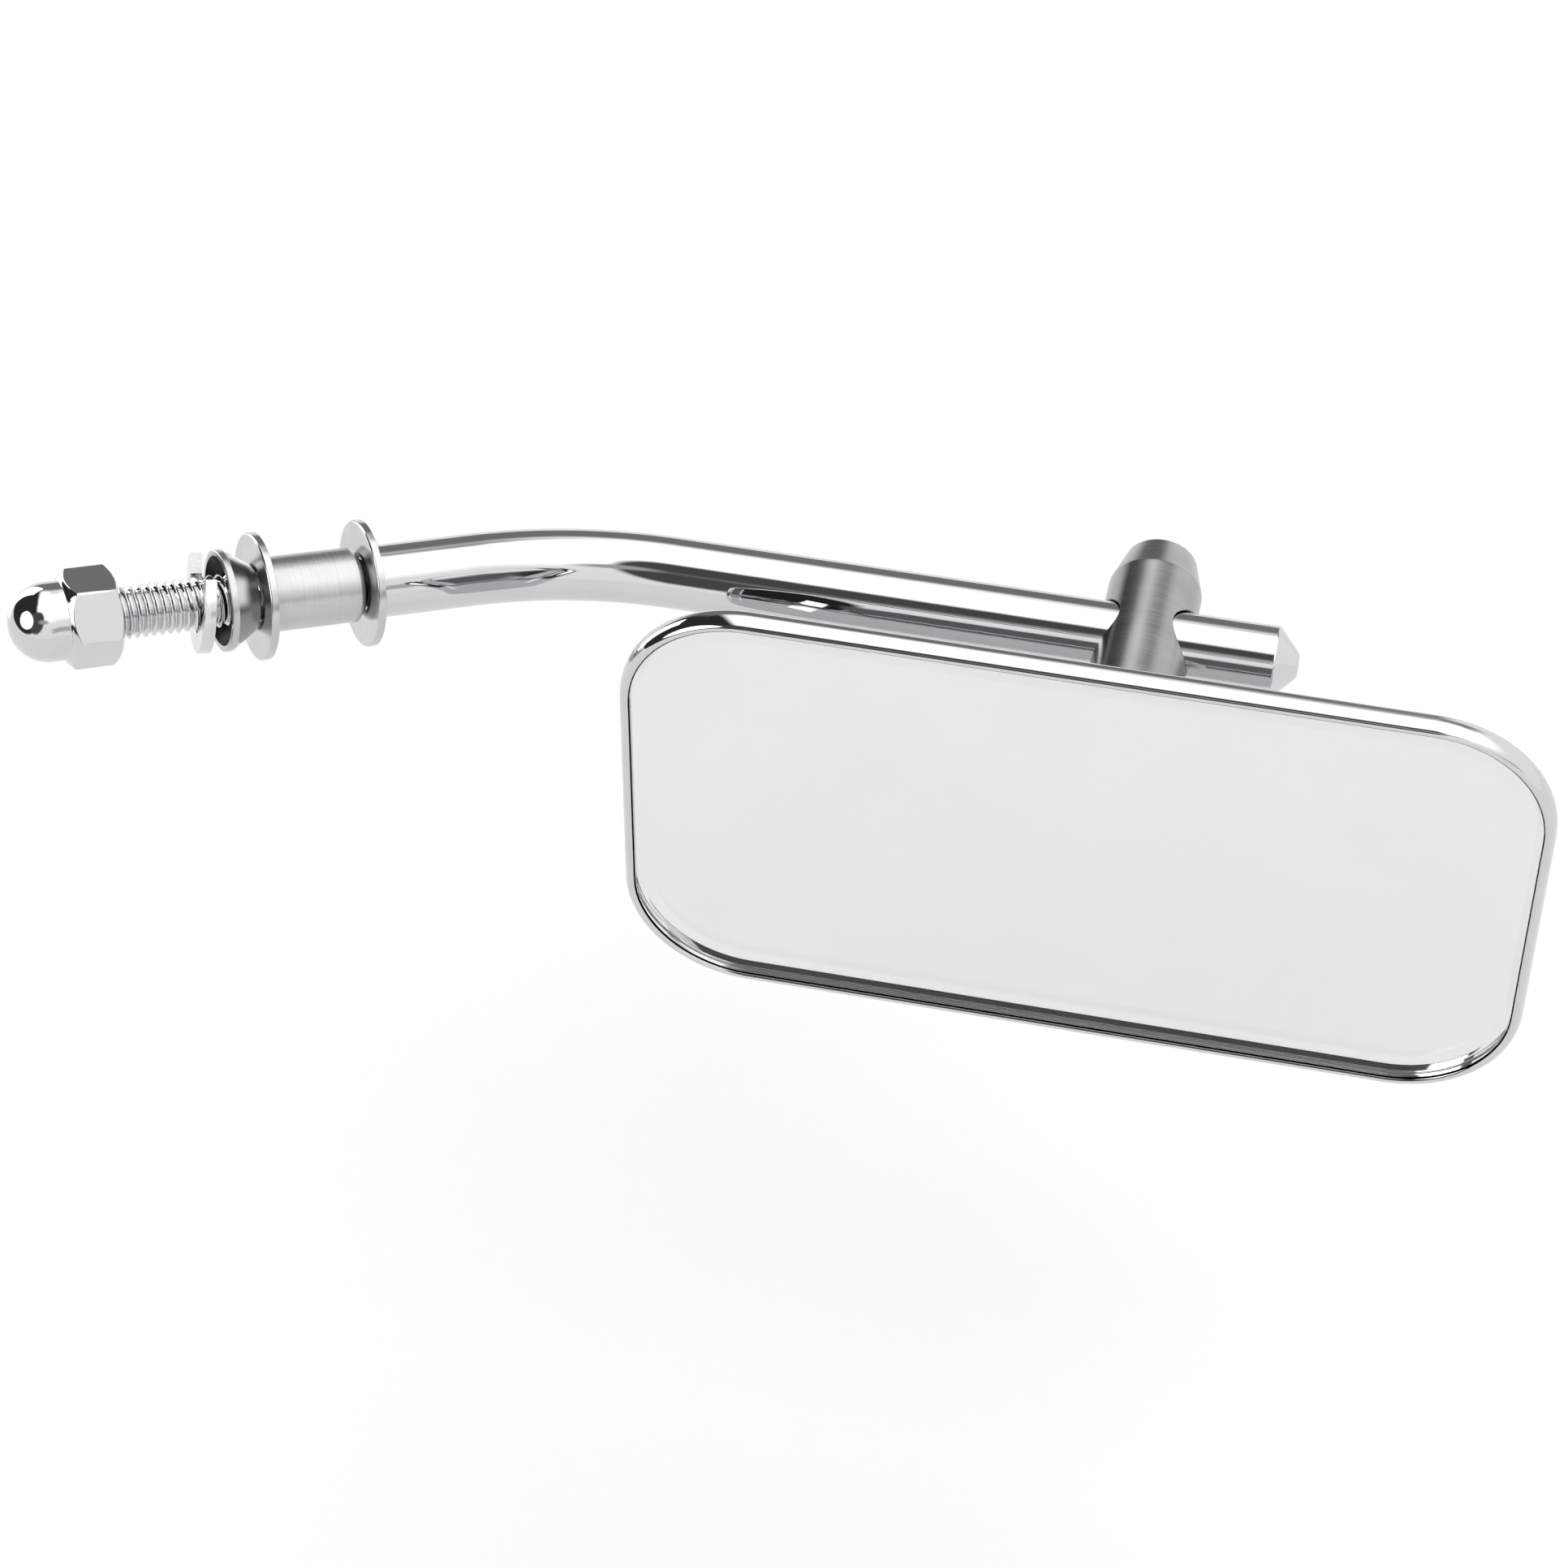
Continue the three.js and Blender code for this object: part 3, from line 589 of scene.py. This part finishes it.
def nut_shape():
    low, high, _ = measure("cap_nut", ON_STUD)
    outline = hexagon(ACROSS_FLATS, NUT_CORNER_AT, NUT_CORNER_ROUND)
    dome_r, hex_l = 5.9, 7.8
    hex_top = low + hex_l
    face_r, bore, bore_depth, ease = 6.15, 4.15, 11.5, 0.1
    low_slope, top_slope, top_r = math.tan(math.radians(30)), math.tan(math.radians(42)), 6.1
    rings = []

    def ring(place):
        rings.append([Vector((r * math.cos(a), r * math.sin(a), z)) for a, (r, z) in
                      ((angle, place(radius)) for angle, radius in outline)])

    def plain(r, z):
        ring(lambda _: (r, z))

    plain(bore, low + bore_depth)
    plain(bore, low + 0.55)
    plain(bore + 0.5, low)
    plain(face_r, low)
    ring(lambda r: (r - ease, low + (r - ease - face_r) * low_slope))
    ring(lambda r: (r, low + (r - face_r) * low_slope + ease))
    ring(lambda r: (r, hex_top - (r - top_r) * top_slope - ease))
    ring(lambda r: (r - ease, hex_top - (r - ease - top_r) * top_slope))
    neck = eased([(top_r + 0.1, hex_top - 0.1, 0), (dome_r, hex_top + 0.05, 0.3), (dome_r, hex_top + 1, 0)])
    for r, z in neck:
        plain(r, z)
    dome_z = high - dome_r
    steps = 22
    for i in range(steps):
        a = math.pi / 2 * i / steps
        plain(dome_r * math.cos(a), dome_z + dome_r * math.sin(a))
    return skin(rings)


piece("cap_nut", nut_shape(), ON_STUD, CHROME_NUT, "nut", ["cap_nut"], sharp=50)

# ------------------------------------------------------------------ post
POST_R = 7.15
CROSS_BORE_R = 5.75
EDGE = 0.16               # rounding of the cross bore's edge
TAPER_FROM = 10.9


def post_columns(bore_steps=28, bridge_steps=14):
    """Columns round the post: (angle, height of the cross bore's edge there), side by side."""
    edge_r = CROSS_BORE_R + EDGE
    columns = []
    for half in (0, math.pi):
        for i in range(bore_steps):
            a = math.pi * (i / bore_steps - 0.5)
            columns.append((half + math.asin(edge_r * math.sin(a) / POST_R), edge_r * math.cos(a), a))
        reach = math.asin(edge_r / POST_R)
        for i in range(bridge_steps):
            columns.append((half + reach + (math.pi - 2 * reach) * i / bridge_steps, 0.0, None))
    return columns, bore_steps, bridge_steps


def post_shape():
    columns, bore_steps, bridge_steps = post_columns()
    count = len(columns)
    points, faces = [], []

    def add(x, y, z):
        points.append(Vector((x, y, z)))
        return len(points) - 1

    def wall_row(place):
        return [add(POST_R * math.cos(a), POST_R * math.sin(a), place(h)) for a, h, _ in columns]

    def strip(lower, upper):
        for i in range(count):
            k = (i + 1) % count
            faces.append((lower[i], lower[k], upper[k], upper[i]))

    low, high, _ = measure("post", ON_POST)
    shoulder = measure("swivel_washer", ON_POST)[1] + 0.3
    # the wall above and below the cross bore; both meet on the bridges
    above = wall_row(lambda h: h)
    below = [above[i] if columns[i][1] == 0.0 else None for i in range(count)]
    for i, (a, h, _) in enumerate(columns):
        if below[i] is None:
            below[i] = add(POST_R * math.cos(a), POST_R * math.sin(a), -h)
    for i in (0, bore_steps + bridge_steps):
        below[i] = above[i]
    rows = [above]
    for share in (0.3, 0.65, 1.0):
        rows.append(wall_row(lambda h, s=share: h + (TAPER_FROM - 0.6 - h) * s))
    for lower, upper in zip(rows, rows[1:]):
        strip(lower, upper)

    def round_row(r, z):
        return [add(r * math.cos(a), r * math.sin(a), z) for a, _, _ in columns]

    hole_r = 3.15
    top_profile = eased([
        (POST_R, TAPER_FROM - 0.6, 0), (POST_R, TAPER_FROM, 0.9), (5.55, high - 0.5, 0.5), (4.95, high, 0.25),
        (hole_r + 0.3, high, 0.05), (hole_r, high - 0.3, 0.05), (hole_r, high - 1, 0),
    ])[1:]
    previous = rows[-1]
    for r, z in top_profile:
        row = round_row(r, z)
        strip(previous, row)
        previous = row
    faces.append(tuple(previous))
    previous = below
    for share in (0.15, 0.4, 0.7, 1.0):
        row = wall_row(lambda h, s=share: -h - (-shoulder - 0.8 - h) * s)
        strip(row, previous)
        previous = row
    spigot = 2.95
    low_profile = eased([
        (POST_R, shoulder + 0.8, 0), (POST_R, shoulder, 0.35), (spigot, shoulder, 0.1), (spigot, low, 0.4),
        (0.5, low, 0),
    ])[1:]
    for r, z in low_profile:
        row = round_row(r, z)
        strip(row, previous)
        previous = row
    faces.append(tuple(reversed(previous)))
    # the cross bore, from one side's edge to the other's
    loops = []
    for side in (0, 1):
        start = side * (bore_steps + bridge_steps)
        upper = [above[start + i] for i in range(bore_steps)] + [above[start + bore_steps]]
        lower = [below[start + i] for i in range(bore_steps)] + [above[start + bore_steps]]
        if side == 0:
            loops.append(upper + lower[-2:0:-1])
        else:
            loops.append(upper[::-1] + lower[1:-1])
    angles = [math.pi * (i / bore_steps - 0.5) for i in range(bore_steps + 1)]
    around = [(a, 1) for a in angles] + [(a, -1) for a in angles[-2:0:-1]]

    def bore_row(share):
        """A ring in the bore: share runs from 1 at the +x edge to -1 at the other."""
        row = []
        for a, up in around:
            y, z = CROSS_BORE_R * math.sin(a), up * CROSS_BORE_R * math.cos(a)
            row.append(add(share * math.sqrt((POST_R - EDGE) ** 2 - y * y), y, z))
        return row

    chain = [loops[0]] + [bore_row(s) for s in (1, 0.6, 0.2, -0.2, -0.6, -1)] + [loops[1]]
    size = len(chain[0])
    for first, second in zip(chain, chain[1:]):
        for i in range(size):
            k = (i + 1) % size
            faces.append((first[i], first[k], second[k], second[i]))
    return points, faces


piece("post", post_shape(), ON_POST, CHROME_POST, "post", ["post"], sharp=50)


def set_screw():
    """Cup-less grub screw with a hexagon socket in its outer end."""
    low, high, radius = measure("set_screw", ON_POST)
    socket = hexagon(3.0, 0.0, 0.08, flat_steps=3, corner_steps=3)
    depth = 2.6
    outer = eased([(0.5, low, 0), (radius - 0.6, low, 0.1), (radius, low + 0.6, 0.1),
                   (radius, high, 0.3), (1.95, high, 0.05)])
    rings = []
    for r, z in outer:
        rings.append([Vector((r * math.cos(a), r * math.sin(a), z)) for a, _ in socket])
    for z in (high - 0.12, high - depth):
        rings.append([Vector((r * math.cos(a), r * math.sin(a), z)) for a, r in socket])
    return piece("set_screw", skin(rings), ON_POST, BLACK_OXIDE_AND_PAINTED_SHADE, "screw", ["set_screw"])


def swivel_washer():
    low, high, radius = measure("swivel_washer", ON_POST)
    bore = 3.25
    profile = eased([
        (bore, low, 0.1), (radius, low, 0.2), (radius, high, 0.2), (bore, high, 0.1),
    ], closed=True)
    return piece(
        "swivel_washer", turned(profile, closed=True), ON_POST, NYLON, "post", ["swivel_washer"],
    )


set_screw()
swivel_washer()

# ------------------------------------------------------------------ head
HEAD_CORNER_R = 18.5
INNER_CORNER_R = 10.0
RIM_HALF_W = 1.05         # rolled rim, half its width
RIM_WIDEST = 1.9          # its widest point, behind the glass's front
RIM_FRONT = 2.05          # from there forward to its crest
RIM_REAR = 1.8            # and back to its rear edge
SHEET = 0.8
GLASS_INSET = 1.7
GLASS_PLAY = 0.15
GLASS_T = 3.0
PAN_DEPTH = 16.5
PAN_ROOT = 2.6
PAN_FLAT = 26.0


def head_ring(inset, depth, corner_steps=18):
    """The head's outline, inset from its widest edge, at a depth behind the glass's front."""
    half_w, half_h = half_size("shell")
    spare = HEAD_CORNER_R - INNER_CORNER_R
    r = INNER_CORNER_R + spare * math.exp(-inset / spare)
    w, h = half_w - inset - r, half_h - inset - r
    points = []
    for quarter, (x, y) in enumerate([(w, h), (-w, h), (-w, -h), (w, -h)]):
        for i in range(corner_steps + 1):
            a = (quarter + i / corner_steps) * math.pi / 2
            points.append(Vector((x + r * math.cos(a), y + r * math.sin(a), depth)))
    return points


def pan(share):
    """The pan's back: (inset, depth) from the rim's root at 0 to the flat at 1."""
    ledge_back = GLASS_T + GLASS_PLAY + SHEET
    inset = PAN_ROOT + (PAN_FLAT - PAN_ROOT) * share
    return Vector((inset, ledge_back + (PAN_DEPTH - ledge_back) * math.sin(share * math.pi / 2)))


def rim(angle):
    """The rolled rim's outside: a quarter turn at the crest, 0 at the widest, minus a quarter at the rear."""
    reach = RIM_FRONT if angle > 0 else RIM_REAR
    return RIM_HALF_W * (1 - math.cos(angle)), RIM_WIDEST - reach * math.sin(angle)


def shell_profile():
    wall, ledge = GLASS_INSET - GLASS_PLAY, GLASS_T + GLASS_PLAY
    steps, rim_steps = 24, 36
    inside = []
    for i in range(steps, -1, -1):
        here, ahead = pan(i / steps), pan(i / steps + 0.01)
        along = (ahead - here).normalized()
        normal = Vector((along.y, -along.x))
        inside.append(here + normal * SHEET + Vector((0.4, 0)))
    inside = [p for p in inside if p.y > ledge + 0.25]
    corners = [(p.x, p.y, 0) for p in inside]
    corners += [(inside[-1].x - 0.35, ledge, 0.25), (wall, ledge, 0.2)]
    start = math.acos(1 - wall / RIM_HALF_W)
    end = -math.pi / 2
    outside = [rim(start + (end - start) * i / rim_steps) for i in range(rim_steps + 1)]
    corners.append((*outside[0], 0.12))
    corners += [(inset, depth, 0) for inset, depth in outside[2:-1]]
    corners.append((*outside[-1], 0.3))
    corners.append((*pan(0), 0.9))
    corners += [(p.x, p.y, 0) for p in (pan(i / steps) for i in range(2, steps + 1))]
    return eased(corners)


def shell():
    rings = [head_ring(inset, depth) for inset, depth in shell_profile()]
    made = piece("shell", skin(rings), ON_HEAD, CHROME_SHELL, "head", ["shell"], sharp=60)
    hole = turned([(3.25, -1.5), (3.25, 1.5)], count=48)
    _, back, _ = measure("shell", ON_POST)
    cut(made, hole, ON_POST @ Matrix.Translation((0, 0, back * MM)))
    return made


def glass():
    """Clear glass with a ground bevel. Its back face carries the silvering."""
    bevel_w, bevel_d = 1.6, 0.35
    profile = eased([
        (GLASS_INSET + bevel_w + 4, 0, 0), (GLASS_INSET + bevel_w, 0, 0.15), (GLASS_INSET, bevel_d, 0.12),
        (GLASS_INSET, GLASS_T, 0.1), (GLASS_INSET + 0.25, GLASS_T, 0),
    ])
    made = piece(
        "mirror_glass", skin([head_ring(inset, depth) for inset, depth in profile]), ON_HEAD,
        CLEAR_GLASS, "head", ["mirror_glass"], sharp=25,
    )
    made.data.materials.append(SILVERING)
    made.data.polygons[len(made.data.polygons) - 1].material_index = 1
    return made


shell()
glass()

# ------------------------------------------------------------------ pieces inside the head and the post
CARRIED_OVER = {
    "clamp_pad": BRASS,
    "reinforcement_plate": STEEL_INNER,
    "wave_washer": STEEL_INNER,
    "inner_washer": STEEL_INNER,
    "locknut": STEEL_INNER,
    "locknut_insert": NYLON,
    "backing_plate": FIBRE,
    "adhesive_pad": FOAM,
}
for name, material in CARRIED_OVER.items():
    slots = frame["nodes"][name].material_slots
    for slot in slots:
        slot.material = material

# ------------------------------------------------------------------ studio
FLOOR_DROP = 0.11          # floor below the object's lowest point
FLOOR_REACH = 2.6
WALL_HEIGHT = 2.4


def studio_mesh(name, shape, material):
    points, faces = shape
    mesh = bpy.data.meshes.new(name)
    mesh.from_pydata(points, [], faces)
    mesh.materials.append(material)
    mesh.shade_smooth()
    obj = bpy.data.objects.new(name, mesh)
    bpy.context.scene.collection.objects.link(obj)
    return obj


def pale(name, light):
    material, tree, shader = look(name, 0.0, 0.9)
    shader.inputs["Specular IOR Level"].default_value = 0.0
    place = node(tree, "ShaderNodeTexCoord").outputs["Object"]
    mottle = node(tree, "ShaderNodeTexNoise", [("Vector", place), ("Scale", 3.0)])
    tone = ramp(tree, mottle.outputs["Fac"], [(0.3, grey(light - 0.006)), (0.7, grey(light))])
    tree.links.new(tone, shader.inputs["Base Color"])
    return material


def studio():
    floor_z = cad_box[0].z - FLOOR_DROP
    sweep = 0.5
    count = 96
    ground = circle(FLOOR_REACH - sweep, floor_z, count)
    studio_mesh("studio_floor", (ground, [tuple(range(count))]), pale("pale_floor", 0.91))
    bend = [circle(FLOOR_REACH - sweep + sweep * math.sin(a), floor_z + sweep * (1 - math.cos(a)), count)
            for a in (math.pi / 2 * i / 12 for i in range(13))]
    top = circle(FLOOR_REACH, floor_z + WALL_HEIGHT, count)
    points, faces = skin(bend + [top])
    sides = [tuple(reversed(face)) for face in faces[:-2]]
    wall = studio_mesh("studio_wall", (points, sides), pale("pale_wall", 0.86))
    wall.visible_glossy = False
    wall.visible_diffuse = False
    wall.visible_shadow = False
    wall.visible_transmission = False


def direction(azimuth, elevation):
    """Azimuth 0 is +Y and 90 is +X, in degrees."""
    a, e = math.radians(azimuth), math.radians(elevation)
    return Vector((math.sin(a) * math.cos(e), math.cos(a) * math.cos(e), math.sin(e)))


def card(tree, towards, azimuth, elevation, half_width, half_height, tilt=0.0, soft=0.15, oval=False):
    """How much of a flat card is seen in a direction: 1 on the card, 0 off it, soft at its edge."""
    centre = direction(azimuth, elevation)
    right = Vector((0, 0, 1)).cross(centre).normalized() * -1
    up = right.cross(centre)
    if up.z < 0:
        up = -up
    turn = Matrix.Rotation(math.radians(tilt), 3, centre)
    right, up = turn @ right, turn @ up

    def dot(axis):
        made = node(tree, "ShaderNodeVectorMath", [(0, towards), (1, axis)], operation="DOT_PRODUCT")
        return made.outputs["Value"]

    def math_node(operation, *values):
        return node(tree, "ShaderNodeMath", list(enumerate(values)), operation=operation).outputs["Value"]

    ahead = dot(centre)
    safe = math_node("MAXIMUM", ahead, 0.001)
    across = math_node("DIVIDE", math_node("DIVIDE", dot(right), safe), math.tan(math.radians(half_width)))
    above = math_node("DIVIDE", math_node("DIVIDE", dot(up), safe), math.tan(math.radians(half_height)))
    if oval:
        squares = [math_node("MULTIPLY", value, value) for value in (across, above)]
        away = math_node("SQRT", math_node("ADD", *squares))
    else:
        away = math_node("MAXIMUM", math_node("ABSOLUTE", across), math_node("ABSOLUTE", above))
    edge = node(tree, "ShaderNodeMapRange", [
        ("Value", away), ("From Min", 1 + soft), ("From Max", 1 - soft), ("To Min", 0.0), ("To Max", 1.0),
    ], interpolation_type="SMOOTHSTEP")
    return math_node("MULTIPLY", edge.outputs["Result"], math_node("GREATER_THAN", ahead, 0.0))


CARDS = (
    # azimuth, elevation, half width, half height, tilt, softness, oval, brightness
    (-98, 30, 62, 41, 0, 0.14, True, 0.035),      # dark side of the room
    (-163, 37, 21, 32, 0, 0.15, True, 0.09),      # camera, stand and photographer
    (171, 43, 14, 6, 0, 0.5, True, 0.5),          # arm of the stand
    (-127, 27, 22, 20, 0, 0.12, True, 3.0),       # round soft light
    (-17, 15, 20, 21, 0, 0.35, False, 0.24),      # grey screen at the back
    (15, 37, 13, 10, 0, 0.5, False, 0.35),        # grey card beside it
    (132, 14, 14, 6, 0, 0.5, False, 0.6),         # grey card on the right
)


def panel():
    """A tall white reflector that leans near the stud's end. Only reflections show it."""
    away, half_w, half_h, light = 0.16, 0.037, 0.104, 2.2
    facing = direction(-47, 3)
    side = Vector((0, 0, 1)).cross(facing).normalized()
    turn = Matrix.Rotation(math.radians(20), 3, facing)
    side, up = turn @ side, turn @ side.cross(facing)
    middle = SEAT + STUD_LINE * 0.034 + facing * away
    corners = [middle + side * half_w * x + up * half_h * y for x, y in ((-1, -1), (1, -1), (1, 1), (-1, 1))]
    material = pale("reflector", 0.9)
    shader = material.node_tree.nodes["Principled BSDF"]
    shader.inputs["Emission Color"].default_value = (1, 1, 1, 1)
    shader.inputs["Emission Strength"].default_value = light
    made = studio_mesh("studio_panel", (corners, [(0, 1, 2, 3)]), material)
    made.visible_camera = False
    made.visible_diffuse = False
    made.visible_shadow = False
    made.visible_transmission = False


def surroundings():
    world = bpy.data.worlds.new("studio_light")
    bpy.context.scene.world = world
    world.use_nodes = True
    tree = world.node_tree
    towards = node(tree, "ShaderNodeTexCoord").outputs["Generated"]
    height = node(tree, "ShaderNodeSeparateXYZ", [("Vector", towards)]).outputs["Z"]
    light = ramp(tree, node(tree, "ShaderNodeMapRange", [
        ("Value", height), ("From Min", -1.0), ("From Max", 1.0),
    ]).outputs["Result"], [
        (0.0, grey(0.55)), (0.49, grey(0.6)), (0.78, grey(0.62)), (0.88, grey(1.0)), (1.0, grey(1.0)),
    ])
    for azimuth, elevation, half_width, half_height, tilt, soft, oval, level in CARDS:
        mask = card(tree, towards, azimuth, elevation, half_width, half_height, tilt, soft, oval)
        light = node(tree, "ShaderNodeMix", [("Factor", mask), ("A", light), ("B", (*grey(level / 1.9), 1))],
                     data_type="RGBA").outputs["Result"]
    background = tree.nodes["Background"]
    tree.links.new(light, background.inputs["Color"])
    background.inputs["Strength"].default_value = 1.9


def camera():
    """The photograph's view: 46 degrees down on the head, from a little to its right."""
    data = bpy.data.cameras.new("camera")
    data.sensor_width = 36
    data.lens = 100.36
    data.clip_start, data.clip_end = 0.05, 20
    obj = bpy.data.objects.new("camera", data)
    bpy.context.scene.collection.objects.link(obj)
    obj.location = CROSSING + Vector((44.62, -469.30, 457.60)) * MM
    right = Vector((0.977829, 0.209399, 0.001637))
    ahead = Vector((-0.143789, 0.677090, -0.721716))
    obj.rotation_mode = "QUATERNION"
    obj.rotation_quaternion = Matrix((right, right.cross(ahead), -ahead)).transposed().to_quaternion()
    bpy.context.scene.camera = obj


studio()
panel()
surroundings()
camera()
bpy.context.scene.view_settings.view_transform = "Standard"
